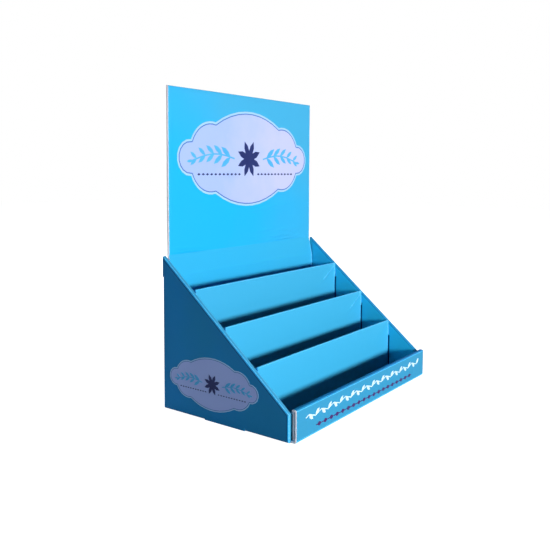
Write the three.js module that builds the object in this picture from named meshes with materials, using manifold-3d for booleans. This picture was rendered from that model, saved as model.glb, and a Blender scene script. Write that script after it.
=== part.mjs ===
// Counter-top card display: a four-pocket tray folded from printed corrugated board,
// three upright dividers and a creased header card. Millimetres, +Z up, front facing -Y.
// Inside the assembly Y is measured from the front edges of the side walls, and the whole
// assembly is then shifted so that the origin lies under the centre of the outer box.

import * as THREE from 'three';
import { mergeVertices } from 'three/addons/utils/BufferGeometryUtils.js';
import Module from 'manifold-3d';

const wasm = await Module();
wasm.setup();

// Tray
const trayWidth = 406;          // outer face to outer face of the side walls
const trayDepth = 233;          // front edges of the side walls to the back wall's outer face
const board = 3;                // corrugated board of the tray
const sideFrontHeight = 39;
const sideRearHeight = 233;
const backWallHeight = 202;     // the back wall stops short of the side walls' rear tops
const wallThickness = 8;        // outer layer, hollow and inner layer of a rolled-over wall
const rimFold = 2.4;            // outer radius of the two folds along a rolled-over edge
const rimFoldInside = 0.6;      // radius inside those folds
const cornerFold = 2.8;         // outer radius of the upright folds of the side walls
const baseFold = 3.6;           // outer radius of the folds round the base
const layerEndGap = 0.6;        // inner layer's ends to the front flap and the back wall
const frontFlapLength = 62;     // the side walls' front flaps, from the outer face inwards
const footTabStart = 75;        // lock tab in each side wall's foot, from the front edge
const footTabLength = 74;

// Front lip, rolled over like the side walls
const lipProud = 9.4;           // lip's face ahead of the side walls' front edges
const lipHeight = 46;
const lipEndInset = 5.5;        // each end of the lip, in from the side wall's outer face
const lipLayerCutback = 2;      // inner layer's ends, in from the lip's ends

// Header card: the tongue stands on the tray's floor, held against the back wall
const headerBoard = 4;
const headerWidth = 381;
const headerTop = 488;
const creaseRise = 0.5;         // upper crease, above the side walls' rear tops
const headerSetback = 1;        // front face of the upper panel, ahead of the back wall's face
const tongueFlare = 3;          // tongue's right edge runs out past the panel's
const flareHeight = 36;         // height in which it does so
const seatGap = 0.3;            // clearance between separate pieces that lie on each other

// Dividers: thin board folded double, with the fold on top
const dividerThickness = 3;
const firstDivider = 59.5;      // middle of the first divider, from the side walls' front
const dividerSpacing = 57.6;
const dividerRise = 3;          // top of a divider above the side wall's rim
const earHeight = 27;           // upper end part that reaches the inner side layer
const earGap = 0.5;             // ear to the inner side layer
const shankGap = 2.8;           // end below the ear to the inner side layer
const tabHeight = 13;           // tab that enters the slot of the inner side layer
const tabDrop = 11;             // rim down to the top of that tab
const slotClearance = 0.4;      // slot round the tab, each way

// Printed panels with eight lobes, and the ornament on them
const labelThickness = 0.3;
const inkThickness = 0.2;
const panelHalfLength = 174.4;  // header panel; the side panels are the same shape, smaller
const panelHalfHeight = 80.3;
const crownCuspX = 86.3;        // cusps between the long lobes and the corner lobes
const crownCuspY = 57.4;
const endCuspX = 143.5;         // cusps between the corner lobes and the end lobes
const endCuspY = 28.5;
const cornerBulge = 11.3;       // rise of a corner lobe over its chord
const headerPanelDrop = 106.4;  // middle of the header's panel, below the header's top
const headerPanelShift = 1.5;
const sidePanelScale = 0.4835;
const sidePanelHeight = 54.6;   // middle of a side panel above the base
const sidePanelMargin = 13.8;   // rear end of a side panel, ahead of the tray's rear

// Ornament of a printed panel, at the header's size
const rosettePetals = 8;
const rosetteRadius = 32;
const rosetteHub = 8;
const rosettePetalWidth = 12;
const sprigInner = 39;          // where a sprig starts, from the middle
const sprigLength = 102;
const sprigRise = 9;
const sprigStem = 2.4;
const sprigLeaves = 5;          // pairs of leaves on a sprig
const sprigLeafLength = 30;
const sprigLeafWidth = 10;
const sprigLeafLean = 0.62;     // leaves to the stem, in radians
const sprigTaper = 0.45;        // share by which the leaves grow smaller towards the tip
const sprigTipLean = -0.1;      // leaf at the tip, in radians

// Ornament of the front lip
const vineHeight = 29.5;        // middle line of the vine above the base
const vineHalfLength = 176;
const vineWaves = 11;
const vineSwing = 2.6;
const vineStem = 1.6;
const vineLeafLength = 13;
const vineLeafWidth = 6.4;
const vineLeafLean = 0.7;       // leaves to the middle line, in radians
const ruleHeight = 12.5;        // middle line of the beaded rule above the base
const ruleHalfLength = 150;
const ruleBeads = 19;
const ruleStem = 1.2;
const ruleBeadLength = 10.5;
const ruleBeadWidth = 6.4;

const foldSegments = 4;         // straight pieces in a quarter fold
const leafSteps = 3;            // straight pieces along each edge of a leaf
const bendSteps = 4;            // straight pieces in one wave of the vine
const lobeSegments = 9;         // straight pieces in a lobe of a printed panel
const overcut = 2;              // how far a cutting solid runs past what it cuts
const weldDistance = 1e-4;      // points of a solid this near each other are one point
const tangentStep = 0.001;      // share of a curve either way, for its direction at a point

const rimSlope = (sideRearHeight - sideFrontHeight) / trayDepth;
const slopeAngle = Math.atan(rimSlope);
const outerFace = trayWidth / 2;
const innerFace = outerFace - wallThickness;
const lipHalf = outerFace - lipEndInset;
const backInner = trayDepth - board;
const headerForeEdge = trayDepth - headerSetback;
const headerCrease = sideRearHeight + creaseRise;
const headerBack = headerForeEdge + headerBoard;
const middleY = (headerBack - lipProud - inkThickness) / 2;

const rimHeight = (y) => sideFrontHeight + rimSlope * y;

// Colours of the print and of the bare board
const paint = (name, color, roughness) => {
  const material = new THREE.MeshStandardMaterial({ color, roughness, metalness: 0 });
  material.name = name;
  return material;
};
const printedBlue = paint('printed_blue', 0x35b4ee, 0.5);
const panelLavender = paint('panel_lavender', 0xc3d0fb, 0.5);
const inkSky = paint('ink_sky', 0x4fb2e6, 0.5);
const inkNavy = paint('ink_navy', 0x26305f, 0.5);
const inkWhite = paint('ink_white', 0xe9f7ff, 0.5);
const inkPlum = paint('ink_plum', 0x5f2a63, 0.5);

function solidOf(geometry) {
  const bare = geometry.clone();
  bare.deleteAttribute('normal');
  bare.deleteAttribute('uv');
  const merged = mergeVertices(bare, weldDistance);
  return new wasm.Manifold(new wasm.Mesh({
    numProp: 3,
    vertProperties: new Float32Array(merged.attributes.position.array),
    triVerts: new Uint32Array(merged.index.array),
  }));
}

function geometryOf(solid) {
  const mesh = solid.getMesh();
  const geometry = new THREE.BufferGeometry();
  geometry.setAttribute('position', new THREE.BufferAttribute(mesh.vertProperties, mesh.numProp));
  geometry.setIndex(new THREE.BufferAttribute(mesh.triVerts, 1));
  geometry.computeVertexNormals();
  return geometry;
}

// The three drawing planes: an outline in (y, z) is extruded along X, one in (x, z) along Y
// and one in (x, y) along Z.
const drawnAlong = {
  x: new THREE.Matrix4().makeBasis(
    new THREE.Vector3(0, 1, 0), new THREE.Vector3(0, 0, 1), new THREE.Vector3(1, 0, 0)),
  y: new THREE.Matrix4().makeBasis(
    new THREE.Vector3(1, 0, 0), new THREE.Vector3(0, 0, 1), new THREE.Vector3(0, -1, 0)),
  z: new THREE.Matrix4(),
};

function prism(shape, axis, low, high) {
  const geometry = new THREE.ExtrudeGeometry(shape, {
    depth: high - low,
    bevelEnabled: false,
    steps: 1,
    curveSegments: foldSegments,
  });
  geometry.applyMatrix4(drawnAlong[axis]);
  const place = { x: [low, 0, 0], y: [0, high, 0], z: [0, 0, low] }[axis];
  geometry.translate(...place);
  return solidOf(geometry);
}

function block(x0, x1, y0, y1, z0, z1) {
  const geometry = new THREE.BoxGeometry(x1 - x0, y1 - y0, z1 - z0);
  geometry.translate((x0 + x1) / 2, (y0 + y1) / 2, (z0 + z1) / 2);
  return solidOf(geometry);
}

const outline = (points) => new THREE.Shape(points.map(([u, v]) => new THREE.Vector2(u, v)));

// A rectangle whose four corners have their own fold radii, from the lower left corner round
function foldedRectangle(u0, u1, v0, v1, radii) {
  const [lowerLeft, lowerRight, upperRight, upperLeft] = radii;
  const shape = new THREE.Shape();
  shape.moveTo(u0 + lowerLeft, v0);
  shape.lineTo(u1 - lowerRight, v0);
  if (lowerRight) {
    shape.absarc(u1 - lowerRight, v0 + lowerRight, lowerRight, -Math.PI / 2, 0);
  }
  shape.lineTo(u1, v1 - upperRight);
  if (upperRight) {
    shape.absarc(u1 - upperRight, v1 - upperRight, upperRight, 0, Math.PI / 2);
  }
  shape.lineTo(u0 + upperLeft, v1);
  if (upperLeft) {
    shape.absarc(u0 + upperLeft, v1 - upperLeft, upperLeft, Math.PI / 2, Math.PI);
  }
  shape.lineTo(u0, v0 + lowerLeft);
  if (lowerLeft) {
    shape.absarc(u0 + lowerLeft, v0 + lowerLeft, lowerLeft, Math.PI, 1.5 * Math.PI);
  }
  return shape;
}

// A bar that runs along the sloping rim, rounded on its two upper edges. Its top lies
// `below` under the rim, measured square to it.
function slopingBar(x0, x1, below, radius) {
  const reach = trayDepth + sideRearHeight;
  const shape = foldedRectangle(x0, x1, -reach, -below, [0, 0, radius, radius]);
  const geometry = new THREE.ExtrudeGeometry(shape, {
    depth: 2 * reach,
    bevelEnabled: false,
    steps: 1,
    curveSegments: foldSegments,
  });
  geometry.translate(0, 0, -reach);
  geometry.rotateX(Math.PI / 2 + slopeAngle);
  geometry.translate(0, 0, sideFrontHeight);
  return solidOf(geometry);
}

// One side wall: an outer layer, a rolled-over rim and an inner layer that comes down to the
// base. The outer layer has a flap round the front edge.
function sideWall(left) {
  const side = left ? -1 : 1;
  const across = (a, b) => [side * a, side * b].sort((p, q) => p - q);
  const [x0, x1] = across(innerFace, outerFace);
  const profile = outline([
    [0, 0],
    [trayDepth, 0],
    [trayDepth, sideRearHeight],
    [0, sideFrontHeight],
  ]);
  const slab = prism(profile, 'x', x0, x1);
  const rolled = slab.intersect(slopingBar(x0, x1, 0, rimFold));

  const [h0, h1] = across(innerFace + board, outerFace - board);
  const hollowProfile = outline([
    [board, board],
    [backInner, board],
    [backInner, sideRearHeight],
    [board, sideRearHeight],
  ]);
  const hollow = prism(hollowProfile, 'x', h0, h1)
    .intersect(slopingBar(h0, h1, board, rimFoldInside));

  const [g0, g1] = across(innerFace - overcut, outerFace - board);
  const endGap = (y0, y1) => block(g0, g1, y0, y1, board, trayDepth + sideRearHeight)
    .intersect(slopingBar(g0, g1, board, 0));
  const frontGap = endGap(board, board + layerEndGap);
  const rearGap = endGap(backInner - layerEndGap, backInner);

  const [f0, f1] = across(outerFace - frontFlapLength, outerFace - board);
  const flap = block(f0, f1, 0, board, 0, sideFrontHeight);
  return rolled.subtract(hollow).subtract(frontGap).subtract(rearGap).add(flap);
}

// The front lip: outer face, narrow top and inner layer, open at both ends
function frontLip() {
  const back = wallThickness - lipProud;
  const profile = foldedRectangle(-lipProud, back, 0, lipHeight, [baseFold, 0, rimFold, rimFold]);
  const rolled = prism(profile, 'x', -lipHalf, lipHalf);
  const hollow = block(
    -lipHalf - overcut, lipHalf + overcut,
    -lipProud + board, back - board,
    board, lipHeight - board);
  const layerEnd = (x0, x1) => block(
    x0, x1, -lipProud + board, back + overcut, board, lipHeight - board);
  return rolled
    .subtract(hollow)
    .subtract(layerEnd(-lipHalf - overcut, -lipHalf + lipLayerCutback))
    .subtract(layerEnd(lipHalf - lipLayerCutback, lipHalf + overcut));
}

// Everything outside the folds round the base and up the corners of the side walls
function foldEnvelope() {
  const tall = sideRearHeight + overcut;
  const aroundBase = prism(
    foldedRectangle(-outerFace, outerFace, 0, tall, [baseFold, baseFold, 0, 0]),
    'y', -lipProud - overcut, trayDepth);
  const footTabs = block(
    -outerFace, outerFace, footTabStart, footTabStart + footTabLength, 0, baseFold);
  const upright = prism(
    foldedRectangle(-outerFace, outerFace, 0, trayDepth,
      [cornerFold, cornerFold, cornerFold, cornerFold]),
    'z', 0, tall);
  const aboveBackWall = block(
    -outerFace, outerFace, trayDepth / 2, trayDepth, backWallHeight, tall);
  const ahead = block(-lipHalf, lipHalf, -lipProud, cornerFold, 0, lipHeight);
  return aroundBase.add(footTabs).intersect(upright.add(aboveBackWall).add(ahead));
}

const dividerPlaces = [0, 1, 2].map((i) => firstDivider + i * dividerSpacing);

function dividerSlots() {
  return dividerPlaces.map((y) => {
    const top = rimHeight(y) - tabDrop;
    return block(
      -innerFace - board - overcut / 2, innerFace + board + overcut / 2,
      y - dividerThickness / 2 - slotClearance, y + dividerThickness / 2 + slotClearance,
      top - tabHeight - slotClearance, top + slotClearance);
  });
}

function tray() {
  const base = block(-outerFace, outerFace, 0, trayDepth, 0, board);
  const underLip = block(-lipHalf, lipHalf, -lipProud / 2, board, 0, board);
  const backWall = block(-outerFace, outerFace, backInner, trayDepth, 0, backWallHeight);
  let body = base
    .add(underLip)
    .add(backWall)
    .add(sideWall(true))
    .add(sideWall(false))
    .add(frontLip())
    .intersect(foldEnvelope());
  for (const slot of dividerSlots()) {
    body = body.subtract(slot);
  }
  return body;
}

function divider(y) {
  const top = rimHeight(y) + dividerRise;
  const shankHalf = innerFace - shankGap;
  const earHalf = innerFace - earGap;
  const front = y - dividerThickness / 2;
  const back = y + dividerThickness / 2;
  const round = dividerThickness / 2;
  const folded = (halfWidth, foot) => prism(
    foldedRectangle(front, back, foot, top, [0, 0, round, round]),
    'x', -halfWidth, halfWidth);
  const tabTop = rimHeight(y) - tabDrop;
  const tabs = block(
    -innerFace - board, innerFace + board, front, back, tabTop - tabHeight, tabTop);
  return folded(shankHalf, board).add(folded(earHalf, top - earHeight)).add(tabs);
}

// The header's blank is creased twice: upright down to the side walls' rear tops, leaning
// forward down to the back wall's top, and upright again down to the floor.
function headerCard() {
  const tongueFront = backInner - seatGap - headerBoard;
  const bendHeight = backWallHeight;
  const section = (foot, top) => outline([
    [tongueFront, foot],
    [tongueFront + headerBoard, foot],
    [tongueFront + headerBoard, bendHeight],
    [headerBack, headerCrease],
    [headerBack, top],
    [headerForeEdge, top],
    [headerForeEdge, headerCrease],
    [tongueFront, bendHeight],
  ]);
  const sheet = prism(section(board, headerTop), 'x', -headerWidth, headerWidth);
  const edge = headerWidth / 2;
  const blank = outline([
    [-edge, board],
    [edge + tongueFlare, board],
    [edge + tongueFlare, headerCrease - flareHeight],
    [edge, headerCrease],
    [edge, headerTop],
    [-edge, headerTop],
  ]);
  return sheet.intersect(prism(blank, 'y', 0, headerBack + overcut));
}

// An arc from the shape's last point to (x, y) that rises `bulge` over its chord, to the
// left of the way it runs
function bulgeTo(points, x, y, bulge) {
  const [px, py] = points[points.length - 1];
  const half = Math.hypot(x - px, y - py) / 2;
  const radius = (half * half + bulge * bulge) / (2 * bulge);
  const ux = (x - px) / (2 * half);
  const uy = (y - py) / (2 * half);
  const cx = (px + x) / 2 + uy * (radius - bulge);
  const cy = (py + y) / 2 - ux * (radius - bulge);
  const start = Math.atan2(py - cy, px - cx);
  const sweep = -2 * (bulge > half
    ? Math.PI - Math.asin(half / radius)
    : Math.asin(half / radius));
  for (let i = 1; i <= lobeSegments; i += 1) {
    const angle = start + (sweep * i) / lobeSegments;
    points.push([cx + radius * Math.cos(angle), cy + radius * Math.sin(angle)]);
  }
}

// The panel's outline, clockwise from the cusp at the left end of the crown
function panelOutline(scale) {
  const crownBulge = panelHalfHeight - crownCuspY;
  const endBulge = panelHalfLength - endCuspX;
  const points = [[-crownCuspX, crownCuspY]];
  bulgeTo(points, crownCuspX, crownCuspY, crownBulge);
  bulgeTo(points, endCuspX, endCuspY, cornerBulge);
  bulgeTo(points, endCuspX, -endCuspY, endBulge);
  bulgeTo(points, crownCuspX, -crownCuspY, cornerBulge);
  bulgeTo(points, -crownCuspX, -crownCuspY, crownBulge);
  bulgeTo(points, -endCuspX, -endCuspY, cornerBulge);
  bulgeTo(points, -endCuspX, endCuspY, endBulge);
  bulgeTo(points, -crownCuspX, crownCuspY, cornerBulge);
  points.pop();
  return outline(points.map(([u, v]) => [u * scale, v * scale]).reverse());
}

// A pointed leaf from (x, y), `length` long in the direction `angle`
function leaf(x, y, angle, length, width, scale) {
  const points = [];
  for (let i = 0; i <= leafSteps; i += 1) {
    const t = i / leafSteps;
    points.push([t * length, (-width / 2) * Math.sin(Math.PI * t)]);
  }
  for (let i = leafSteps - 1; i > 0; i -= 1) {
    const t = i / leafSteps;
    points.push([t * length, (width / 2) * Math.sin(Math.PI * t)]);
  }
  const c = Math.cos(angle);
  const s = Math.sin(angle);
  return outline(points.map(([u, v]) => [
    (x + u * c - v * s) * scale,
    (y + u * s + v * c) * scale,
  ]));
}

// A band of even width along a curve that maps 0..1 to (x, y)
function band(curve, width, steps, scale) {
  const upper = [];
  const lower = [];
  for (let i = 0; i <= steps; i += 1) {
    const t = i / steps;
    const [x, y] = curve(t);
    const [ax, ay] = curve(Math.max(0, t - tangentStep));
    const [bx, by] = curve(Math.min(1, t + tangentStep));
    const run = Math.hypot(bx - ax, by - ay);
    const nx = -(by - ay) / run;
    const ny = (bx - ax) / run;
    upper.push([(x + (nx * width) / 2) * scale, (y + (ny * width) / 2) * scale]);
    lower.push([(x - (nx * width) / 2) * scale, (y - (ny * width) / 2) * scale]);
  }
  return outline([...lower, ...upper.reverse()]);
}

const inked = (shapes) => shapes
  .map((shape) => prism(shape, 'z', 0, inkThickness))
  .reduce((whole, piece) => whole.add(piece));

function rosette(scale) {
  const hub = new THREE.Shape();
  hub.absarc(0, 0, rosetteHub * scale, 0, 2 * Math.PI);
  const petals = [];
  for (let i = 0; i < rosettePetals; i += 1) {
    const angle = ((i + 0.5) * 2 * Math.PI) / rosettePetals;
    petals.push(leaf(0, 0, angle, rosetteRadius, rosettePetalWidth, scale));
  }
  return inked([hub, ...petals]);
}

// A sprig to the right of the rosette; the one on the left is its mirror image
function sprig(scale, mirror) {
  const stem = (t) => [
    sprigInner + t * sprigLength,
    sprigRise * Math.sin(Math.PI * t) - (sprigRise / 2) * t,
  ];
  const shapes = [band(stem, sprigStem, 2 * sprigLeaves, scale)];
  for (let i = 0; i < sprigLeaves; i += 1) {
    const t = (i + 0.5) / sprigLeaves;
    const [x, y] = stem(t);
    const size = 1 - sprigTaper * t;
    for (const way of [1, -1]) {
      shapes.push(leaf(
        x, y, way * sprigLeafLean, sprigLeafLength * size, sprigLeafWidth * size, scale));
    }
  }
  const [tipX, tipY] = stem(1);
  shapes.push(leaf(
    tipX - sprigStem, tipY, sprigTipLean, sprigLeafLength / 2, sprigLeafWidth / 2, scale));
  const solid = inked(shapes);
  return mirror ? solid.mirror([1, 0, 0]) : solid;
}

// The lip's two ornaments: a running vine and a beaded rule
function vine() {
  const stem = (t) => [
    (2 * t - 1) * vineHalfLength,
    vineSwing * Math.sin(2 * Math.PI * vineWaves * t),
  ];
  const shapes = [band(stem, vineStem, bendSteps * vineWaves, 1)];
  for (let i = 0; i < 2 * vineWaves; i += 1) {
    const t = (i + 0.5) / (2 * vineWaves);
    const way = i % 2 ? 1 : -1;
    const [x, y] = stem(t);
    shapes.push(leaf(x, y, way * vineLeafLean, vineLeafLength, vineLeafWidth, 1));
  }
  return inked(shapes);
}

function beadedRule() {
  const rule = (t) => [(2 * t - 1) * ruleHalfLength, 0];
  const shapes = [band(rule, ruleStem, 1, 1)];
  for (let i = 0; i < ruleBeads; i += 1) {
    const t = (i + 0.5) / ruleBeads;
    const [x] = rule(t);
    shapes.push(leaf(x - ruleBeadLength / 2, 0, 0, ruleBeadLength, ruleBeadWidth, 1));
  }
  return inked(shapes);
}

const display = new THREE.Group();
const assembly = new THREE.Group();
assembly.position.set(0, -middleY, 0);
display.add(assembly);

function addMesh(parent, name, geometry, material) {
  const mesh = new THREE.Mesh(geometry, material);
  mesh.name = name;
  parent.add(mesh);
  return mesh;
}

const addPiece = (name, solid, material) => addMesh(assembly, name, geometryOf(solid), material);

addPiece('tray', tray(), printedBlue);
addPiece('header_card', headerCard(), printedBlue);
addPiece('divider_front', divider(dividerPlaces[0]), printedBlue);
addPiece('divider_middle', divider(dividerPlaces[1]), printedBlue);
addPiece('divider_rear', divider(dividerPlaces[2]), printedBlue);

// A printed face is drawn flat, outline up and thickness towards the viewer, and then turned
// to face the way it does on the board.
function printedFace(x, y, z, facing) {
  const face = new THREE.Group();
  const up = new THREE.Vector3(0, 0, 1);
  const out = new THREE.Vector3(...facing);
  const along = new THREE.Vector3().crossVectors(up, out);
  face.quaternion.setFromRotationMatrix(new THREE.Matrix4().makeBasis(along, up, out));
  face.position.set(x, y, z);
  assembly.add(face);
  return face;
}

function addInk(face, name, solid, material, height) {
  const mesh = addMesh(face, name, geometryOf(solid), material);
  mesh.position.z = height;
}

function addPrintedPanel(face, prefix, scale) {
  const panel = prism(panelOutline(scale), 'z', 0, labelThickness);
  addInk(face, `${prefix}_panel`, panel, panelLavender, 0);
  addInk(face, `${prefix}_rosette`, rosette(scale), inkNavy, labelThickness);
  addInk(face, `${prefix}_sprig_a`, sprig(scale, true), inkSky, labelThickness);
  addInk(face, `${prefix}_sprig_b`, sprig(scale, false), inkSky, labelThickness);
}

const sidePanelPlace = trayDepth - sidePanelMargin - panelHalfLength * sidePanelScale;
addPrintedPanel(
  printedFace(headerPanelShift, headerForeEdge, headerTop - headerPanelDrop, [0, -1, 0]),
  'header', 1);
addPrintedPanel(
  printedFace(-outerFace, sidePanelPlace, sidePanelHeight, [-1, 0, 0]), 'left', sidePanelScale);
addPrintedPanel(
  printedFace(outerFace, sidePanelPlace, sidePanelHeight, [1, 0, 0]), 'right', sidePanelScale);

addInk(printedFace(0, -lipProud, vineHeight, [0, -1, 0]), 'lip_vine', vine(), inkWhite, 0);
addInk(printedFace(0, -lipProud, ruleHeight, [0, -1, 0]), 'lip_rule', beadedRule(), inkPlum, 0);

export default display;
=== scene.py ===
"""Looks of the counter-top card display: printed corrugated board with folds, raw edges and ink."""

import math

import bmesh
import bpy
from mathutils import Matrix, Vector, noise


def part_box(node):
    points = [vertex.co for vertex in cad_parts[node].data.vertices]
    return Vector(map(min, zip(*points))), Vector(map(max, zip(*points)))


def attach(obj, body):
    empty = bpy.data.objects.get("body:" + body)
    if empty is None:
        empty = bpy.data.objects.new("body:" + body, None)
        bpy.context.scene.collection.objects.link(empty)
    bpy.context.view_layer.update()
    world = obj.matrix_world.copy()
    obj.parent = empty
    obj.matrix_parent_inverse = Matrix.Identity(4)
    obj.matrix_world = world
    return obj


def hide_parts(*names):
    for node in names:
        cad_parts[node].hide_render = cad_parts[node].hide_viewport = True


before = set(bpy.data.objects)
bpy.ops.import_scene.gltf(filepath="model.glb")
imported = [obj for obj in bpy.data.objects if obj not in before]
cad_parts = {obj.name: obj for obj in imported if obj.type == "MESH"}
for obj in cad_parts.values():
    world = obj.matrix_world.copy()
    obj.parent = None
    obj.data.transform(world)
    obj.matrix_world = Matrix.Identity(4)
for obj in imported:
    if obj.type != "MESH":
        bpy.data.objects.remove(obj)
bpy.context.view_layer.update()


MM = 0.001

# The places that the looks need, read from the frame (metres)
TRAY_LOW, TRAY_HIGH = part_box("tray")
HEADER_LOW, HEADER_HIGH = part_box("header_card")
LIP_FACE = TRAY_LOW.y
LIP_PROUD = 9.4 * MM
SIDE_FRONT = LIP_FACE + LIP_PROUD
SIDE_HALF = TRAY_HIGH.x
LIP_HALF = SIDE_HALF - 5.5 * MM
LIP_CUTBACK = 2 * MM
FLAP_TOP = 39 * MM
BOARD = 3 * MM
BACK_WALL_TOP = 202 * MM
UPPER_CREASE = TRAY_HIGH.z + 0.5 * MM
HEADER_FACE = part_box("header_panel")[1].y
SLOPE = (TRAY_HIGH.z - FLAP_TOP) / (TRAY_HIGH.y - SIDE_FRONT)
RIM_NORMAL = Vector((0, -SLOPE, 1)).normalized()
RIM_PLACE = RIM_NORMAL.dot(Vector((0, SIDE_FRONT, FLAP_TOP)))
RIM_FOLD = 2.4 * MM
CORNER_FOLD = 2.8 * MM
WALL = 8 * MM                   # outer layer, hollow and inner layer of a side wall
LINE = 1.1 * MM                 # painted shade of the pressed line beside a fold
TONGUE_HIGHLIGHT_LINE = HEADER_HIGH.x - 4.6 * MM  # painted highlight strip along the right edge below the crease
HEADER_HALF = -HEADER_LOW.x
EAR_HEIGHT = 27 * MM            # upper end part of a divider
SLOT_AHEAD = 2.0 * MM           # painted shade of the slot beside a divider's end, ahead of its front face
SLOT_BEHIND = 0.8 * MM
DIVIDER_BOXES = [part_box(f"divider_{divider}") for divider in ("front", "middle", "rear")]
SLOT_SHADES = [                       # front, rear and top of each slot's painted shade
    (low.y - SLOT_AHEAD, low.y + SLOT_BEHIND, high.z - EAR_HEIGHT) for low, high in DIVIDER_BOXES]
NEAR = 0.05 * MM                # how close counts as the same plane
COPLANAR = math.radians(0.2)    # triangles that meet at less than this are one face
SHARP = math.radians(60)        # an edge sharper than this is a cut edge
SHADE_SPLIT = math.radians(38)  # shading breaks at an edge sharper than this
ALONG_X, ALONG_Y, ALONG_Z = (Vector(v) for v in ((1, 0, 0), (0, 1, 0), (0, 0, 1)))

# Camera: where the photograph was taken from, measured from the tray's left front corner
PHOTO_SIDE = 550
CAMERA_FROM_CORNER = Vector((-729.4, -514.8, 360.8)) * MM
CAMERA_YAW = 53.56
CAMERA_TILT = 4.5
CAMERA_ROLL = 0.28
CAMERA_FOCAL = 691.8            # in pixels of the photograph
CAMERA_AXIS_ROW = 225.8         # pixel row of the lens axis
SENSOR = 36.0

# Relief of the board
CELL = 9 * MM                   # spacing of the grid that lets a panel bend
EDGE_ROUND = 0.22 * MM
CUT_EDGE = 0.3 * MM             # how far a softened edge reaches into its neighbours
LIP_END = 7 * MM                # stretch at the lip's ends where its raw edges lie
PAPER_GLOW = 2.5 * MM           # how far light spreads in the paper of a raw edge
CRUSHED_ROUND = 1.1 * MM        # corners of the raw cuts that were pressed in handling
TALL = 10 * MM                  # an upright edge of the lip is longer than this
RIM_MARGIN = 1 * MM             # inner fold of the far rim, in from the wall's inner face
HEADER_BOW = 1.3 * MM
SIDE_BOW = 0.5 * MM
BOW_START = (4 * MM, 30 * MM)   # where a side wall starts to bow, from base and rim
BOW_START_SHARE = (0.02, 0.25)  # and from its front and rear, as shares of its depth
DIVIDER_BOW = 0.7 * MM
RIPPLE = 0.10 * MM
HEADER_RIPPLE = 0.16 * MM
RIPPLE_START = 20 * MM          # height above the crease in which the header's ripples start
RIPPLE_SCALE = 22.0             # ripples to the metre
CREASE_END = 192 * MM           # a divider's crease starts by its right end
CREASE_DROP = 2 * MM            # and this far under its top
CREASE_SLOPE = 0.64
CREASE_WIDTH = 2.4 * MM
CREASE_MIDDLE = 20 * MM         # deepest place of the crease, in from the end
CREASE_REACH = 24 * MM

# Fine lines that let the wrinkles and creases bend, from the header's crease and from a
# divider's corner
LOWER_STEP = 0.9 * MM
LOWER_LINES = 32
UPPER_START = 54 * MM
UPPER_STEP = 1.2 * MM
UPPER_LINES = 16
CORNER_STEP_X = 2.2 * MM
CORNER_STEP_Z = 1.5 * MM
CORNER_LINES = 24

# Where a divider is pale: cracked ink with a painted highlight on its crease and corner, and a
# painted highlight along its end
PALE_CREASE = 1.0 * MM          # to either side of the crease's line
PALE_START = 3 * MM             # from here inwards along the crease
PALE_STOP = 40 * MM
PALE_CORNER = (7 * MM, 9 * MM)  # inwards and down
PALE_END = 2.2 * MM

# Print
BORDER = 3.2 * MM               # pale border of the header's panel
KEYLINE = 1.8 * MM
SIDE_PANEL_SCALE = 0.4835
INSET_LIMIT = 0.5               # keeps the inset short of a spike at a sharp corner
DOTS = 11                       # lozenges in each half of the row under the sprigs
DOT_START = 26 * MM
DOT_PITCH = 10 * MM
DOT_DROP = 26 * MM
DOT_LENGTH = 7.6 * MM
DOT_HEIGHT = 4.0 * MM
DOT_THICK = 0.15 * MM


def srgb(red, green, blue):
    """Linear colour from 0..255 display values."""
    def linear(value):
        value /= 255
        return value / 12.92 if value <= 0.04045 else ((value + 0.055) / 1.055) ** 2.4
    return (linear(red), linear(green), linear(blue), 1.0)


BLUE = srgb(24, 176, 236)
BLUE_DEEP = srgb(36, 170, 228)
BLUE_DIVIDER = srgb(58, 168, 214)
# Painted shade: a dark blue on the dividers' backs, the lip's back and the floor, so that the
# pockets look shadowed
POCKET_SHADE_BLUE = srgb(10, 134, 138)
# Painted light: a lighter copy of the blue for the walls' inner faces
INSIDE_LIT_BLUE = srgb(44, 202, 248)
# Painted light falloff: the header's ink turns to this duller blue towards its top and right
HEADER_FALLOFF_BLUE = srgb(64, 169, 216)
# Painted shade: a darker copy of the blue on the rim tops
RIM_SHADE_BLUE = srgb(58, 156, 202)
# Painted shade on the header below its crease
TONGUE_SHADE_BLUE = srgb(52, 174, 220)
# Painted shade, darker still, on the far rim
FAR_RIM_SHADE_BLUE = srgb(24, 144, 198)
# Painted shade for the pressed lines and the slots
GROOVE_SHADE_DARK = srgb(10, 66, 112)
GROOVE_SHADE_PALE = srgb(24, 92, 140)
# Painted shade: a darker copy of the blue for the outer side walls, the steep half of their folds
# and the lip's top
SIDE_SHADE_BLUE = srgb(12, 133, 190)
SIDE_SHADE_DEEP = srgb(10, 130, 202)
# Painted shade: a darker copy of the blue for the lip's front
LIP_SHADE_BLUE = srgb(51, 144, 186)
# Pale ink of stretched folds and scuffs, also a painted highlight on lit fold halves and cut ends
WEAR_AND_HIGHLIGHT_BLUE = srgb(88, 192, 242)
WEAR_AND_HIGHLIGHT_PALE = srgb(132, 212, 248)
PAPER = srgb(252, 244, 250)
PAPER_SHADE = srgb(234, 222, 230)
PAPER_PALE = srgb(252, 246, 250)
LINER = srgb(232, 230, 226)
LINER_SHADE = srgb(214, 210, 206)
LAVENDER = srgb(163, 185, 242)
LAVENDER_PALE = srgb(190, 196, 238)
BORDER_PALE = srgb(158, 200, 241)
KEYLINE_BLUE = srgb(76, 116, 190)
SKY = srgb(84, 178, 232)
NAVY = srgb(34, 44, 98)
WHITE_INK = srgb(210, 234, 248)
PLUM = srgb(72, 34, 96)
BLACK = (0, 0, 0, 1)
WHITE = (1, 1, 1, 1)

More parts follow.
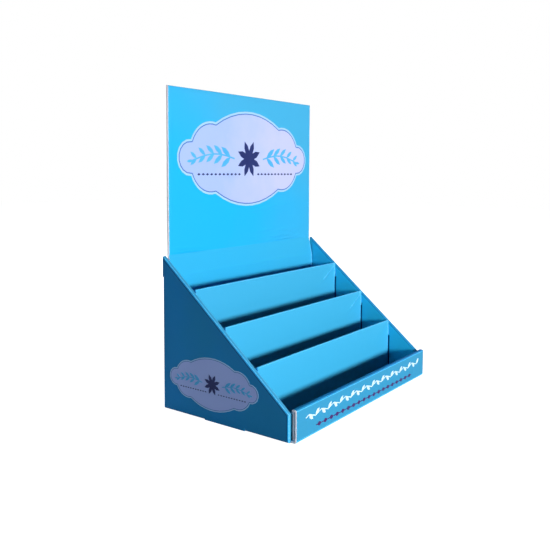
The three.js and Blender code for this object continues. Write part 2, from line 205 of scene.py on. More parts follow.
# The second colour of each ink, where it came out unevenly
BORDER_UNEVEN = srgb(164, 206, 240)
KEYLINE_UNEVEN = srgb(72, 112, 186)
SKY_UNEVEN = srgb(72, 168, 226)
NAVY_UNEVEN = srgb(42, 54, 110)
WHITE_UNEVEN = srgb(196, 226, 244)
PLUM_UNEVEN = srgb(66, 46, 112)


def grey(level):
    return (level, level, level, 1)


def make_camera():
    data = bpy.data.cameras.new("camera")
    data.sensor_width = SENSOR
    data.lens = CAMERA_FOCAL * SENSOR / PHOTO_SIDE
    data.shift_y = (CAMERA_AXIS_ROW - PHOTO_SIDE / 2) / PHOTO_SIDE
    data.clip_start = 0.01
    data.clip_end = 50
    camera = bpy.data.objects.new("camera", data)
    bpy.context.scene.collection.objects.link(camera)
    yaw, tilt, roll = (math.radians(v) for v in (CAMERA_YAW, CAMERA_TILT, CAMERA_ROLL))
    forward = Vector((
        math.sin(yaw) * math.cos(tilt), math.cos(yaw) * math.cos(tilt), -math.sin(tilt)))
    level = Vector((math.cos(yaw), -math.sin(yaw), 0))
    upright = level.cross(forward)
    right = level * math.cos(roll) + upright * math.sin(roll)
    up = upright * math.cos(roll) - level * math.sin(roll)
    turn = Matrix((right, up, -forward)).transposed()
    corner = Vector((-SIDE_HALF, SIDE_FRONT, 0))
    camera.matrix_world = Matrix.Translation(corner + CAMERA_FROM_CORNER) @ turn.to_4x4()
    bpy.context.scene.camera = camera


class Shader:
    """A Principled material whose node graph is written as short calls."""

    def __init__(self, name, roughness, specular=0.4):
        self.material = bpy.data.materials.new(name)
        self.material.use_nodes = True
        self.tree = self.material.node_tree
        self.bsdf = self.tree.nodes["Principled BSDF"]
        self.bsdf.inputs["Roughness"].default_value = roughness
        self.bsdf.inputs["Specular IOR Level"].default_value = specular
        self.coords = self.tree.nodes.new("ShaderNodeTexCoord").outputs["Object"]

    def node(self, kind, **values):
        made = self.tree.nodes.new(kind)
        for key, value in values.items():
            setattr(made, key, value)
        return made

    def link(self, source, target):
        self.tree.links.new(source, target)

    def scaled(self, scale):
        mapping = self.node("ShaderNodeMapping")
        mapping.inputs["Scale"].default_value = scale
        self.link(self.coords, mapping.inputs["Vector"])
        return mapping.outputs["Vector"]

    def noise(self, scale, detail=3.0, roughness=0.5, stretch=(1, 1, 1)):
        made = self.node("ShaderNodeTexNoise")
        made.inputs["Scale"].default_value = scale
        made.inputs["Detail"].default_value = detail
        made.inputs["Roughness"].default_value = roughness
        self.link(self.scaled(stretch), made.inputs["Vector"])
        return made.outputs["Fac"]

    def wave(self, scale, direction, distortion=0.0):
        made = self.node("ShaderNodeTexWave", wave_type="BANDS", bands_direction=direction)
        made.inputs["Scale"].default_value = scale
        made.inputs["Distortion"].default_value = distortion
        made.inputs["Detail"].default_value = 1.0
        self.link(self.coords, made.inputs["Vector"])
        return made.outputs["Fac"]

    def math(self, operation, a, b):
        made = self.node("ShaderNodeMath", operation=operation)
        for socket, value in zip(made.inputs, (a, b)):
            if isinstance(value, (int, float)):
                socket.default_value = value
            else:
                self.link(value, socket)
        return made.outputs["Value"]

    def ramp(self, factor, stops):
        made = self.node("ShaderNodeValToRGB")
        elements = made.color_ramp.elements
        while len(elements) < len(stops):
            elements.new(0.5)
        for element, (place, colour) in zip(elements, stops):
            element.position = place
            element.color = colour
        self.link(factor, made.inputs["Fac"])
        return made.outputs["Color"]

    def mix(self, factor, a, b):
        made = self.node("ShaderNodeMix", data_type="RGBA")
        for socket, value in zip((made.inputs[0], made.inputs[6], made.inputs[7]), (factor, a, b)):
            if isinstance(value, (int, float, tuple)):
                socket.default_value = value
            else:
                self.link(value, socket)
        return made.outputs[2]

    def colour(self, source):
        self.link(source, self.bsdf.inputs["Base Color"])

    def roughness(self, low, high, factor):
        span = self.node("ShaderNodeMapRange")
        span.inputs["To Min"].default_value = low
        span.inputs["To Max"].default_value = high
        self.link(factor, span.inputs["Value"])
        self.link(span.outputs["Result"], self.bsdf.inputs["Roughness"])

    def bump(self, height, strength, distance):
        made = self.node("ShaderNodeBump")
        made.inputs["Strength"].default_value = strength
        made.inputs["Distance"].default_value = distance
        self.link(height, made.inputs["Height"])
        previous = self.bsdf.inputs["Normal"].links
        if previous:
            self.link(previous[0].from_socket, made.inputs["Normal"])
        self.link(made.outputs["Normal"], self.bsdf.inputs["Normal"])


FLUTES_TO_METRE = 22.4          # wave scale at which a band is one 7 mm flute
BLOTCH_SHARE = 0.34             # part of the unevenness in an ink that changes sideways
PALER_ACROSS = 2.0              # how fast a panel pales to the right, in a metre
FALLOFF_ACROSS = 2.2               # how fast the header's painted light falls off to the right, in a metre
FALLOFF_UPWARD = 4.2               # and upwards
FALLOFF_START = 0.33               # height from which it falls off upwards
TONGUE_SHADE_SHARE = 0.7              # share of the duller painted shade below the header's crease


def coated(shader, flutes):
    """The surface of coated board: uneven gloss, a faint washboard and paper grain."""
    shader.roughness(0.36, 0.52, shader.noise(40.0, 5.0, 0.6))
    shader.bump(shader.wave(FLUTES_TO_METRE, flutes, 0.4), 0.10, 0.12 * MM)
    shader.bump(shader.noise(1500.0, 3.0, 0.6), 0.10, 0.05 * MM)
    return shader.material


def printed_board(name, main, deep, flutes):
    """Ink on a coated liner: even colour with slight mottling and small scuffs."""
    shader = Shader(name, 0.46, 0.22)
    mottle = shader.noise(7.0, 4.0, 0.55)
    tone = shader.mix(shader.ramp(mottle, [(0.35, BLACK), (0.68, WHITE)]), main, deep)
    specks = shader.noise(900.0, 2.0, 0.7)
    scuffed = shader.mix(
        shader.ramp(specks, [(0.70, BLACK), (0.80, grey(0.35))]), tone, WEAR_AND_HIGHLIGHT_BLUE)
    shader.colour(scuffed)
    return coated(shader, flutes)


def header_board_with_falloff(name):
    """The header's ink with a painted falloff of light: duller towards its top and its right edge,
    with painted shade below the crease."""
    shader = Shader(name, 0.46, 0.22)
    split = shader.node("ShaderNodeSeparateXYZ")
    shader.link(shader.coords, split.inputs["Vector"])
    right = shader.math("MULTIPLY", split.outputs["X"], FALLOFF_ACROSS)
    height = shader.math("SUBTRACT", split.outputs["Z"], FALLOFF_START)
    upward = shader.math("MAXIMUM", shader.math("MULTIPLY", height, FALLOFF_UPWARD), -0.12)
    spread = shader.math("MULTIPLY", shader.noise(9.0, 3.0, 0.5), 0.4)
    # Painted falloff of light towards the header's top and right edge
    falloff = shader.math("ADD", shader.math("ADD", right, upward), spread)
    tone = shader.mix(shader.ramp(falloff, [(0.0, BLACK), (0.75, WHITE)]), BLUE, HEADER_FALLOFF_BLUE)
    below = shader.math("LESS_THAN", split.outputs["Z"], UPPER_CREASE)
    shader.colour(shader.mix(shader.math("MULTIPLY", below, TONGUE_SHADE_SHARE), tone, TONGUE_SHADE_BLUE))
    return coated(shader, "X")


def groove_shade_line(name):
    """Painted shade for the pressed line beside a fold and the slot beside a divider's end, dark
    with a cracked texture.
    """
    shader = Shader(name, 0.6, 0.15)
    crack = shader.noise(500.0, 4.0, 0.7)
    shader.colour(shader.ramp(crack, [(0.3, GROOVE_SHADE_DARK), (0.75, GROOVE_SHADE_PALE)]))
    shader.bump(crack, 0.3, 0.1 * MM)
    return shader.material


def fold_and_highlight_board(name):
    """Where the board is folded the ink is stretched, so it is lighter and rougher. The same pale
    colour also serves as a painted highlight: on the lit half of folds, on the dividers' ends and
    along the tongue's right edge.
    """
    shader = Shader(name, 0.5)
    crack = shader.noise(420.0, 4.0, 0.7)
    shader.colour(shader.ramp(crack, [(0.35, BLUE), (0.55, WEAR_AND_HIGHLIGHT_BLUE), (0.75, WEAR_AND_HIGHLIGHT_PALE)]))
    shader.bump(crack, 0.25, 0.1 * MM)
    return shader.material


def raw_paper(name):
    """A cut edge: two liners with the crushed medium between them, pale and fibrous."""
    shader = Shader(name, 0.9, 0.2)
    shader.bsdf.inputs["Subsurface Weight"].default_value = 1.0
    shader.bsdf.inputs["Subsurface Radius"].default_value = (1.0, 1.0, 1.0)
    shader.bsdf.inputs["Subsurface Scale"].default_value = PAPER_GLOW
    fibre = shader.noise(700.0, 5.0, 0.7, (1, 1, 0.25))
    patches = shader.noise(60.0, 3.0, 0.6)
    body = shader.ramp(fibre, [(0.30, PAPER_SHADE), (0.52, PAPER), (0.8, PAPER_PALE)])
    shader.colour(shader.mix(
        shader.ramp(patches, [(0.45, BLACK), (0.75, grey(0.5))]), body, PAPER_SHADE))
    shader.bump(fibre, 0.35, 0.15 * MM)
    return shader.material


def bare_liner(name):
    """Unprinted white liner on the back of the header card."""
    shader = Shader(name, 0.75, 0.25)
    fibre = shader.noise(260.0, 6.0, 0.65)
    shader.colour(shader.ramp(fibre, [(0.3, LINER_SHADE), (0.7, LINER)]))
    shader.bump(shader.wave(FLUTES_TO_METRE, "X", 0.3), 0.22, 0.15 * MM)
    shader.bump(fibre, 0.12, 0.06 * MM)
    return shader.material


def ink(name, main, other, roughness=0.4, across=0.0):
    """A field of ink with a little unevenness, on the same coated liner. The second colour can
    gain towards the right."""
    shader = Shader(name, roughness, 0.3)
    blotch = shader.noise(26.0, 4.0, 0.6)
    grain = shader.noise(1100.0, 2.0, 0.7)
    share = blotch
    if across:
        split = shader.node("ShaderNodeSeparateXYZ")
        shader.link(shader.coords, split.inputs["Vector"])
        sideways = shader.math("MULTIPLY", split.outputs["X"], across)
        faint = shader.math("MULTIPLY", shader.math("ADD", blotch, 1.0), BLOTCH_SHARE)
        share = shader.math("ADD", faint, sideways)
    tone = shader.mix(shader.ramp(share, [(0.35, BLACK), (0.7, WHITE)]), main, other)
    shader.colour(shader.mix(
        shader.ramp(grain, [(0.66, BLACK), (0.8, grey(0.25))]), tone, LAVENDER))
    shader.roughness(roughness - 0.05, roughness + 0.08, blotch)
    shader.bump(grain, 0.08, 0.04 * MM)
    return shader.material


def smooth_step(low, high, value):
    t = min(1.0, max(0.0, (value - low) / (high - low)))
    return t * t * (3 - 2 * t)


def bell(value, middle, width):
    return math.exp(-((value - middle) / width) ** 2)


# Wrinkles where the header card was bent at its crease: middle x, height above the crease,
# half length, width and depth, in millimetres, and the slope of each
WRINKLES = (
    (84, 10.0, 46, 2.6, 2.00, 0.04),
    (104, 4.0, 46, 2.0, 1.60, -0.02),
    (112, 17.0, 34, 2.8, 1.50, 0.07),
    (60, 23.0, 34, 2.6, 1.00, 0.02),
    (28, 60.0, 26, 3.2, 0.90, 0.05),
    (78, 66.0, 26, 3.2, 0.80, -0.04),
    (-150, 3.0, 30, 2.6, 1.60, -0.03),
)


def header_warp(point):
    """The header card's upper panel is bowed a little and wrinkled just above its crease."""
    across = point.x / HEADER_HIGH.x
    rise = smooth_step(UPPER_CREASE, HEADER_HIGH.z, point.z)
    forward = HEADER_BOW * (1 - across * across) * rise
    ripple = noise.noise(Vector((point.x, 0, point.z)) * RIPPLE_SCALE)
    above = smooth_step(UPPER_CREASE, UPPER_CREASE + RIPPLE_START, point.z)
    forward += HEADER_RIPPLE * (ripple + 0.5) * above
    for middle, height, length, width, depth, lean in WRINKLES:
        along = point.x - middle * MM
        line = UPPER_CREASE + height * MM + lean * along
        forward += depth * MM * bell(point.z, line, width * MM) * bell(along, 0, length * MM)
    return Vector((point.x, point.y - forward, point.z))


def side_warp(point):
    """The side walls' outer layers draw in slightly between their folds."""
    y = (point.y - SIDE_FRONT) / (TRAY_HIGH.y - SIDE_FRONT)
    rim = FLAP_TOP + SLOPE * (point.y - SIDE_FRONT)
    low = smooth_step(*BOW_START, point.z)
    high = smooth_step(*BOW_START, rim - point.z)
    ends = smooth_step(*BOW_START_SHARE, y) * smooth_step(*BOW_START_SHARE, 1 - y)
    ripple = noise.noise(Vector((0, point.y, point.z)) * RIPPLE_SCALE)
    inward = SIDE_BOW * low * high * ends * (1 + 0.5 * ripple)
    return Vector((point.x - math.copysign(inward, point.x), point.y, point.z))


def tray_warp(point):
    """The side walls' warp on the outer layers only; the rest of the tray stays as it is."""
    if abs(point.x) < SIDE_HALF - BOARD - NEAR:
        return point.copy()
    return side_warp(point)


def crease_height(top, inward):
    """Height of a divider's corner crease, at a distance in from the divider's end."""
    return top - CREASE_DROP - CREASE_SLOPE * inward


def divider_warp(point, foot, top, lean, crease):
    """A divider bows a little between its tabs, more towards its top, and the corner by the
    right end can be creased by handling."""
    across = point.x / SIDE_HALF
    rise = smooth_step(foot, top, point.z)
    ripple = noise.noise(Vector((point.x, point.y, point.z)) * RIPPLE_SCALE)
    shift = lean * DIVIDER_BOW * (1 - across * across) * rise + RIPPLE * ripple * rise
    inward = CREASE_END - point.x
    depth = crease * MM * bell(inward, CREASE_MIDDLE, CREASE_REACH)
    shift -= depth * bell(point.z, crease_height(top, inward), CREASE_WIDTH)
    return Vector((point.x, point.y + shift, point.z))


def still(point):
    """For a piece that stays as it is."""
    return point.copy()


def rejoined(node):
    """The CAD node's faces with its coplanar triangles joined again."""
    mesh = bmesh.new()
    mesh.from_mesh(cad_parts[node].data)
    bmesh.ops.remove_doubles(mesh, verts=mesh.verts, dist=1e-6)
    bmesh.ops.dissolve_limit(
        mesh, angle_limit=COPLANAR, use_dissolve_boundaries=False,
        verts=mesh.verts, edges=mesh.edges)
    return mesh


def cut_planes(mesh, normal, places):
    for place in places:
        everything = mesh.verts[:] + mesh.edges[:] + mesh.faces[:]
        bmesh.ops.bisect_plane(
            mesh, geom=everything, dist=1e-7, plane_co=normal * place, plane_no=normal)


def spaced(low, high, step):
    count = max(1, round((high - low) / step))
    return [low + (high - low) * i / count for i in range(1, count)]


def piece_of(mesh, name, materials):
    """An object of the finished mesh, fixed to the stand."""
    data = bpy.data.meshes.new(name)
    mesh.to_mesh(data)
    mesh.free()
    for material in materials:
        data.materials.append(material)
    piece = bpy.data.objects.new(name, data)
    bpy.context.scene.collection.objects.link(piece)
    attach(piece, "root")
    return piece


def dressed(node, name, materials, classify, warp, extra=(), edge=EDGE_ROUND, crushed=None):
    """A finished piece in place of a CAD node: softened cut edges, a grid fine enough to bend,
    the piece's own warp, and a material for each kind of face. The edges that crushed() picks
    are the soft corners of a raw cut."""
    mesh = rejoined(node)
    if crushed:
        bmesh.ops.bevel(
            mesh, geom=[e for e in mesh.edges if crushed(e)], offset=CRUSHED_ROUND,
            offset_type="OFFSET", segments=2, profile=0.5, affect="EDGES", clamp_overlap=True)
    if edge:
        sharp = [
            e for e in mesh.edges
            if len(e.link_faces) == 2 and e.calc_face_angle(0) > SHARP
        ]
        bmesh.ops.bevel(
            mesh, geom=sharp, offset=edge, offset_type="OFFSET", segments=2, profile=0.5,
            affect="EDGES", clamp_overlap=True)
    low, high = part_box(node)
    for axis, normal in enumerate((ALONG_X, ALONG_Y, ALONG_Z)):
        if high[axis] - low[axis] > 2 * CELL:
            cut_planes(mesh, normal, spaced(low[axis], high[axis], CELL))
    for normal, places in extra:
        cut_planes(mesh, normal, places)
    mesh.normal_update()
    for face in mesh.faces:
        face.material_index = classify(face.calc_center_median(), face.normal)
        face.smooth = True
    for vertex in mesh.verts:
        vertex.co = warp(vertex.co)
    bmesh.ops.triangulate(mesh, faces=[f for f in mesh.faces if len(f.verts) > 4])
    mesh.normal_update()
    piece = piece_of(mesh, name, materials)
    piece.data.set_sharp_from_angle(angle=SHADE_SPLIT)
    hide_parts(node)
    return piece


def lip_corner(edge):
    """The upright corners of the lip's two layers, where both are cut."""
    ends = [v.co for v in edge.verts]
    ahead = all(end.y < SIDE_FRONT - NEAR for end in ends)
    at_cut = all(LIP_HALF - LIP_CUTBACK - NEAR < abs(end.x) < LIP_HALF + NEAR for end in ends)
    straight = abs(ends[0].x - ends[1].x) < NEAR and abs(ends[0].z - ends[1].z) > TALL
    return ahead and at_cut and straight and edge.is_convex


def header_corner(edge):
    """The cut edges to the left and right of the header's face."""
    return all(
        abs(abs(v.co.x) - HEADER_HALF) < NEAR and abs(v.co.y - HEADER_FACE) < NEAR
        for v in edge.verts)


# Share of a face's normal along a direction
FLAT = 0.999                    # lies exactly across it
NEARLY_FLAT = 0.99              # takes in the first facets of a fold beside it
FACING = 0.9
STEEP = 0.75                    # the steep half of a fold
UPWARD = 0.7                    # top or foot of the header card
LEANING = 0.6                   # also the softened edge of a cut
ROUGHLY = 0.5
LIP_TOP = 0.35                  # top of the lip with both of its folds

# Places in a piece's list of materials. The first four are the same on tray and header.
PRINT, FOLD_AND_HIGHLIGHT, RAW, LINER_SIDE = range(4)
SIDE_SHADE, INSIDE_LIT, LIP_FRONT_SHADE, POCKET_SHADE, RIM_SHADE, GROOVE_SHADE, FAR_RIM_SHADE = range(4, 11)
# A divider's back takes painted shade
DIVIDER_BACK_SHADE = 2
BORDER_RING, KEYLINE_RING, FIELD = range(3)


def is_fold(normal):
    """A face that belongs to a rounded fold or a softened edge, not to a flat panel."""
    flat = max(abs(normal.x), abs(normal.y), abs(normal.z)) > FLAT
    return not flat and abs(normal.dot(RIM_NORMAL)) < FLAT


def classify_tray(centre, normal):
    ahead = centre.y < SIDE_FRONT - NEAR
    lip_end = ahead and abs(normal.x) > LEANING and abs(centre.x) > LIP_HALF - LIP_END
    flap_top = (
        abs(centre.z - FLAP_TOP) < CUT_EDGE and normal.z > LEANING and not ahead
        and abs(centre.x) < SIDE_HALF - WALL)
    rim_end = (
        centre.y > TRAY_HIGH.y - CUT_EDGE and normal.y > LEANING
        and centre.z > BACK_WALL_TOP + NEAR)
    wall_top = abs(centre.z - BACK_WALL_TOP) < CUT_EDGE and normal.z > LEANING
    if lip_end or flap_top or rim_end or wall_top:
        return RAW
    # Folds get the pale fold colour: stretched ink, and a painted highlight where they face the
    # light
    return FOLD_AND_HIGHLIGHT if is_fold(normal) else PRINT


def classify_header(centre, normal):
    if abs(normal.x) > LEANING or abs(normal.z) > UPWARD:
        return RAW
    if normal.y > ROUGHLY:
        return LINER_SIDE
    # A painted highlight strip along the tongue's right edge
    return FOLD_AND_HIGHLIGHT if centre.x > TONGUE_HIGHLIGHT_LINE and centre.z < UPPER_CREASE else PRINT


def classify_divider(centre, normal):
    # The divider's end faces get the pale fold colour as a painted highlight
    if is_fold(normal) or abs(normal.x) > ROUGHLY:
        return FOLD_AND_HIGHLIGHT
    return DIVIDER_BACK_SHADE if normal.y > ROUGHLY else PRINT


def outline_of(node, facing):
    """The corner points of a thin solid's front face, in order round it."""
    mesh = rejoined(node)
    mesh.normal_update()
    face = max(
        (f for f in mesh.faces if f.normal.dot(facing) > NEARLY_FLAT),
        key=lambda f: f.calc_area())
    points = [v.co.copy() for v in face.verts]
    mesh.free()
    return points


def inset(points, facing, distance):
    """The outline moved inwards by an even distance."""
    moved = []
    count = len(points)
    for i, point in enumerate(points):
        before = (point - points[i - 1]).normalized()
        after = (points[(i + 1) % count] - point).normalized()
        side_a = facing.cross(before)
        side_b = facing.cross(after)
        middle = (side_a + side_b).normalized()
        moved.append(point + middle * distance / max(INSET_LIMIT, middle.dot(side_a)))
    return moved


def printed_panel(prefix, facing, scale, warp, materials):
    """The eight-lobed panel: a pale border, a thin keyline and the lavender field."""
    node = f"{prefix}_panel"
    low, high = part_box(node)
    thickness = min(high - low)
    outer = outline_of(node, facing)
    rings = [
        outer,
        inset(outer, facing, BORDER * scale),
        inset(outer, facing, (BORDER + KEYLINE) * scale),
    ]
    mesh = bmesh.new()
    front = [[mesh.verts.new(p) for p in ring] for ring in rings]
    back = [mesh.verts.new(p - facing * thickness) for p in outer]
    count = len(outer)
    for i in range(count):
        j = (i + 1) % count
        for ring in (BORDER_RING, KEYLINE_RING):
            near, far = front[ring], front[ring + 1]
            face = mesh.faces.new((near[i], near[j], far[j], far[i]))
            face.material_index = ring
        mesh.faces.new((back[i], back[j], front[0][j], front[0][i]))
    field = mesh.faces.new(front[2])
    field.material_index = FIELD
    mesh.faces.new(list(reversed(back)))
    for axis, normal in enumerate((ALONG_X, ALONG_Y, ALONG_Z)):
        if abs(facing[axis]) < ROUGHLY:
            cut_planes(mesh, normal, spaced(low[axis], high[axis], CELL))
    bmesh.ops.triangulate(mesh, faces=[f for f in mesh.faces if len(f.verts) > 4])
    for vertex in mesh.verts:
        vertex.co = warp(vertex.co)
    bmesh.ops.recalc_face_normals(mesh, faces=mesh.faces)
    piece = piece_of(mesh, f"{prefix}_printed_panel", materials)
    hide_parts(node)


def dotted_row(prefix, facing, scale, warp, material):
    """Two short rows of small lozenges under the sprigs."""
    low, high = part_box(f"{prefix}_panel")
    middle = (low + high) / 2
    face = facing * max(facing.dot(low), facing.dot(high))
    along = ALONG_Z.cross(facing)
    centre = middle - facing * facing.dot(middle) + face
    mesh = bmesh.new()
    for side in (-1, 1):
        for i in range(DOTS):
            place = side * (DOT_START + i * DOT_PITCH) * scale
            at = centre + along * place - Vector((0, 0, DOT_DROP * scale))
            ring = [
                along * DOT_LENGTH / 2, Vector((0, 0, DOT_HEIGHT / 2)),
                -along * DOT_LENGTH / 2, Vector((0, 0, -DOT_HEIGHT / 2)),
            ]
            front = [mesh.verts.new(warp(at + r * scale) + facing * DOT_THICK) for r in ring]
            back = [mesh.verts.new(warp(at + r * scale)) for r in ring]
            mesh.faces.new(front)
            mesh.faces.new(list(reversed(back)))
            for k in range(4):
                m = (k + 1) % 4
                mesh.faces.new((front[k], back[k], back[m], front[m]))
    bmesh.ops.recalc_face_normals(mesh, faces=mesh.faces)
    piece = piece_of(mesh, f"{prefix}_dots", [material])


def classify_creased(top, depth):
    """A divider's faces, with a painted highlight along its end, and pale cracked ink with a
    painted highlight along its crease and creased corner.
    """
    def classify(centre, normal):
        inward = CREASE_END - centre.x
        on_crease = (
            abs(centre.z - crease_height(top, inward)) < PALE_CREASE
            and PALE_START < inward < PALE_STOP)
        at_corner = inward < PALE_CORNER[0] and centre.z > top - PALE_CORNER[1]
        at_end = inward < PALE_END
        # Painted highlight along the end; pale cracked ink with a painted highlight on the crease
        # and corner
        if normal.y < -ROUGHLY and (at_end or depth > 1 and (on_crease or at_corner)):
            return FOLD_AND_HIGHLIGHT
        return classify_divider(centre, normal)
    return classify


def classify_tray_print(centre, normal):
    """The tray's faces, each given a tone of the blue ink: painted shade on the outer walls, the
    rims, the lip and the floor, painted light on the inner walls, and painted shade along the
    pressed lines and beside the dividers' ends.
    """
    kind = classify_tray(centre, normal)
    beside = abs(centre.x) > SIDE_HALF - BOARD / 2
    if kind == PRINT and abs(normal.x) > FACING:
        below_rim = RIM_PLACE - centre.dot(RIM_NORMAL)
        behind_front = centre.y - SIDE_FRONT
        # Painted shade beside each divider's end, where its slot lies
        if not beside and any(a < centre.y < b and centre.z < c for a, b, c in SLOT_SHADES):
            return GROOVE_SHADE
        # Painted shade along the pressed lines beside the rim and front folds
        if beside and (RIM_FOLD < below_rim < RIM_FOLD + LINE or
                       CORNER_FOLD < behind_front < CORNER_FOLD + LINE):
            return GROOVE_SHADE
        # The outer walls get painted shade, the inner walls painted light
        return SIDE_SHADE if beside else INSIDE_LIT
    # The lip's back gets the painted pocket shade
    if kind == PRINT and normal.y > FACING and centre.y < SIDE_FRONT + BOARD:
        return POCKET_SHADE
    # The steep half of a side fold gets the side's painted shade
    if beside and kind == FOLD_AND_HIGHLIGHT and abs(normal.x) > STEEP:
        return SIDE_SHADE
    on_top = normal.dot(RIM_NORMAL) > NEARLY_FLAT
    far_wall = centre.x > SIDE_HALF - WALL - RIM_MARGIN and centre.z > FLAP_TOP
    # The rim tops get painted shade, the far rim and its fold a darker one
    if far_wall and (kind == FOLD_AND_HIGHLIGHT or on_top):
        return FAR_RIM_SHADE
    if on_top:
        return RIM_SHADE
    # The lip's top gets the side's painted shade
    if centre.y < SIDE_FRONT and normal.z > LIP_TOP and centre.z > FLAP_TOP:
        return SIDE_SHADE
    # The floor between the walls gets the painted pocket shade
    within = centre.y > SIDE_FRONT + BOARD and abs(centre.x) < SIDE_HALF - WALL
    if kind == PRINT and within and normal.z > FACING and centre.z < 2 * BOARD:
        return POCKET_SHADE
    # The lip's front gets its painted shade
    if kind == PRINT and normal.y < -FACING and centre.y < SIDE_FRONT + NEAR:
        return LIP_FRONT_SHADE
    return kind


def make_boards():
    """The materials of the boards, by the part that has them."""
    return {
        "front": printed_board("printed_board", BLUE, BLUE_DEEP, "X"),
        "outside": printed_board("printed_board_side_shade", SIDE_SHADE_BLUE, SIDE_SHADE_DEEP, "Y"),
        "inside_lit": printed_board("printed_board_inside_lit", INSIDE_LIT_BLUE, INSIDE_LIT_BLUE, "Y"),
        "pocket_shade": printed_board("painted_pocket_shade", POCKET_SHADE_BLUE, POCKET_SHADE_BLUE, "X"),
        "rim": printed_board("printed_board_rim_shade", RIM_SHADE_BLUE, RIM_SHADE_BLUE, "Y"),
        "header": header_board_with_falloff("printed_board_header_falloff"),
        "pressed": groove_shade_line("painted_groove_shade"),
        "lip": printed_board("printed_board_lip_shade", LIP_SHADE_BLUE, LIP_SHADE_BLUE, "X"),
        "divider": printed_board("printed_board_divider", BLUE_DIVIDER, BLUE_DIVIDER, "X"),
        "fold": fold_and_highlight_board("folded_edge_and_highlight"),
        "raw": raw_paper("raw_edge"),
        "liner": bare_liner("bare_liner"),
        "far_rim_shade": printed_board("printed_board_far_rim_shade", FAR_RIM_SHADE_BLUE, FAR_RIM_SHADE_BLUE, "Y"),
    }


def make_tray(boards):
    names = (
        "front", "fold", "raw", "liner", "outside", "inside_lit", "lip", "pocket_shade", "rim", "pressed",
        "far_rim_shade")
    rim_lines = [RIM_PLACE - RIM_FOLD, RIM_PLACE - RIM_FOLD - LINE]
    slot_lines = [place for low, high, top in SLOT_SHADES for place in (low, high)]
    front_lines = [SIDE_FRONT + CORNER_FOLD, SIDE_FRONT + CORNER_FOLD + LINE]
    tray = dressed(
        "tray", "folded_tray", [boards[n] for n in names], classify_tray_print, tray_warp,
        extra=[(RIM_NORMAL, rim_lines), (ALONG_Y, front_lines + slot_lines)],
        crushed=lip_corner)


def make_header(boards):
    lower = [UPPER_CREASE + i * LOWER_STEP for i in range(1, LOWER_LINES)]
    upper = [UPPER_CREASE + UPPER_START + i * UPPER_STEP for i in range(UPPER_LINES)]
    header = dressed(
        "header_card", "creased_header", [boards[n] for n in ("header", "fold", "raw", "liner")],
        classify_header, header_warp,
        extra=[(ALONG_Z, lower + upper), (ALONG_X, [TONGUE_HIGHLIGHT_LINE])], crushed=header_corner)


def make_divider(boards, name, lean, crease):
    """A divider with its own bow; a crease of more than 1 also gets pale cracked ink with a painted
    highlight.
    """
    node = f"divider_{name}"
    low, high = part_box(node)
    by_corner = [
        (ALONG_Z, [high.z - i * CORNER_STEP_Z for i in range(1, CORNER_LINES)]),
        (ALONG_X, [CREASE_END - i * CORNER_STEP_X for i in range(1, CORNER_LINES)]),
    ]
    # Painted shade on the divider's back: the side's lighter shade for the rear one, the darker
    # pocket shade for the others
    back = boards["outside" if name == "rear" else "pocket_shade"]
    piece = dressed(
        node, f"folded_divider_{name}", [boards["divider"], boards["fold"], back],
        classify_creased(high.z, crease),
        lambda point: divider_warp(point, low.z, high.z, lean, crease), extra=by_corner)


def make_print():
    border = ink("panel_border", BORDER_PALE, BORDER_UNEVEN)
    keyline = ink("panel_keyline", KEYLINE_BLUE, KEYLINE_UNEVEN)
    field = ink("panel_field", LAVENDER, LAVENDER_PALE, across=PALER_ACROSS)
    sky = ink("ornament_sky", SKY, SKY_UNEVEN)
    navy = ink("ornament_navy", NAVY, NAVY_UNEVEN)
    white = ink("ornament_white", WHITE_INK, WHITE_UNEVEN)
    plum = ink("ornament_plum", PLUM, PLUM_UNEVEN)
    faces = (
        ("header", -ALONG_Y, 1.0, header_warp),
        ("left", -ALONG_X, SIDE_PANEL_SCALE, side_warp),
        ("right", ALONG_X, SIDE_PANEL_SCALE, side_warp),
    )
    for prefix, facing, scale, warp in faces:
        printed_panel(prefix, facing, scale, warp, [border, keyline, field])
        dotted_row(prefix, facing, scale, warp, navy)
        for part, material, slot in (
            ("rosette", navy, "ink_navy"), ("sprig_a", sky, "ink_sky"), ("sprig_b", sky, "ink_sky"),
        ):
            ornament(f"{prefix}_{part}", material, slot, warp)
    ornament("lip_vine", white, "ink_white", still)
    ornament("lip_rule", plum, "ink_plum", still)


def ornament(node, material, slot, warp):
    piece = dressed(node, f"{node}_ink", [material], lambda centre, normal: 0, warp, edge=0)


def make_object():
    boards = make_boards()
    make_tray(boards)
    make_header(boards)
    for name, lean, crease in (("front", 1, 0.4), ("middle", -0.6, 1.7), ("rear", 0.8, 1.7)):
        make_divider(boards, name, lean, crease)
    make_print()


# Studio
FLOOR_HALF = 6.0
FLOOR_GREY = 0.5
FLOOR_GLOW = 0.985              # seen by the camera alone, so that the floor meets the backdrop
AMBIENT = 0.055
SKY_TINT = (0.6, 0.8, 1.0)
FILL_TINT = (0.84, 0.9, 1.0)


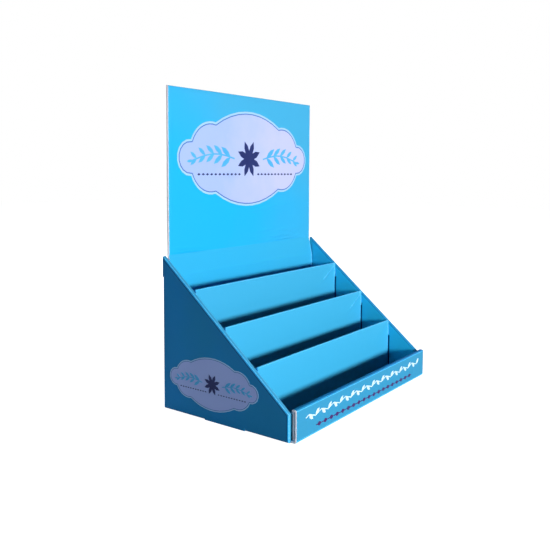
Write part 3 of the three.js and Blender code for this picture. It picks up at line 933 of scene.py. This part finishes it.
def make_stage():
    mesh = bpy.data.meshes.new("floor")
    mesh.from_pydata(
        [(x * FLOOR_HALF, y * FLOOR_HALF, 0) for x, y in ((-1, -1), (1, -1), (1, 1), (-1, 1))],
        [], [(0, 1, 2, 3)])
    floor = bpy.data.objects.new("floor", mesh)
    bpy.context.scene.collection.objects.link(floor)
    material = bpy.data.materials.new("floor")
    material.use_nodes = True
    tree = material.node_tree
    tree.nodes.remove(tree.nodes["Principled BSDF"])
    diffuse = tree.nodes.new("ShaderNodeBsdfDiffuse")
    diffuse.inputs["Color"].default_value = grey(FLOOR_GREY)
    glow = tree.nodes.new("ShaderNodeEmission")
    glow.inputs["Color"].default_value = WHITE
    rays = tree.nodes.new("ShaderNodeLightPath")
    level = tree.nodes.new("ShaderNodeMath")
    level.operation = "MULTIPLY"
    level.inputs[1].default_value = FLOOR_GLOW
    total = tree.nodes.new("ShaderNodeAddShader")
    tree.links.new(rays.outputs["Is Camera Ray"], level.inputs[0])
    tree.links.new(level.outputs[0], glow.inputs["Strength"])
    tree.links.new(diffuse.outputs[0], total.inputs[0])
    tree.links.new(glow.outputs[0], total.inputs[1])
    tree.links.new(total.outputs[0], tree.nodes["Material Output"].inputs["Surface"])
    mesh.materials.append(material)


def make_world():
    world = bpy.data.worlds.new("studio")
    bpy.context.scene.world = world
    world.use_nodes = True
    tree = world.node_tree
    soft = tree.nodes["Background"]
    soft.inputs["Color"].default_value = (*SKY_TINT, 1)
    soft.inputs["Strength"].default_value = AMBIENT
    seen = tree.nodes.new("ShaderNodeBackground")
    seen.inputs["Color"].default_value = WHITE
    rays = tree.nodes.new("ShaderNodeLightPath")
    choose = tree.nodes.new("ShaderNodeMixShader")
    tree.links.new(rays.outputs["Is Camera Ray"], choose.inputs["Fac"])
    tree.links.new(soft.outputs[0], choose.inputs[1])
    tree.links.new(seen.outputs[0], choose.inputs[2])
    tree.links.new(choose.outputs[0], tree.nodes["World Output"].inputs["Surface"])


def area_light(name, place, target, size, power, colour=(1, 1, 1)):
    data = bpy.data.lights.new(name, "AREA")
    data.shape = "DISK"
    data.size = size
    data.energy = power
    data.color = colour
    lamp = bpy.data.objects.new(name, data)
    bpy.context.scene.collection.objects.link(lamp)
    aim = (Vector(target) - Vector(place)).to_track_quat("-Z", "Y")
    lamp.matrix_world = Matrix.Translation(Vector(place)) @ aim.to_matrix().to_4x4()


def make_lights():
    middle = (0, 0, 0.2)
    area_light("key", (-0.3, -2.2, 0.42), middle, 0.36, 63)
    area_light("fill", (-2.6, 0.5, 0.45), middle, 1.0, 11, FILL_TINT)
    area_light("low_fill", (2.6, -0.2, 1.2), middle, 1.2, 8, FILL_TINT)
    area_light("back", (0.8, 2.4, 1.6), middle, 1.6, 50)


make_camera()
make_object()
make_stage()
make_lights()
make_world()
bpy.context.scene.view_settings.view_transform = "Standard"
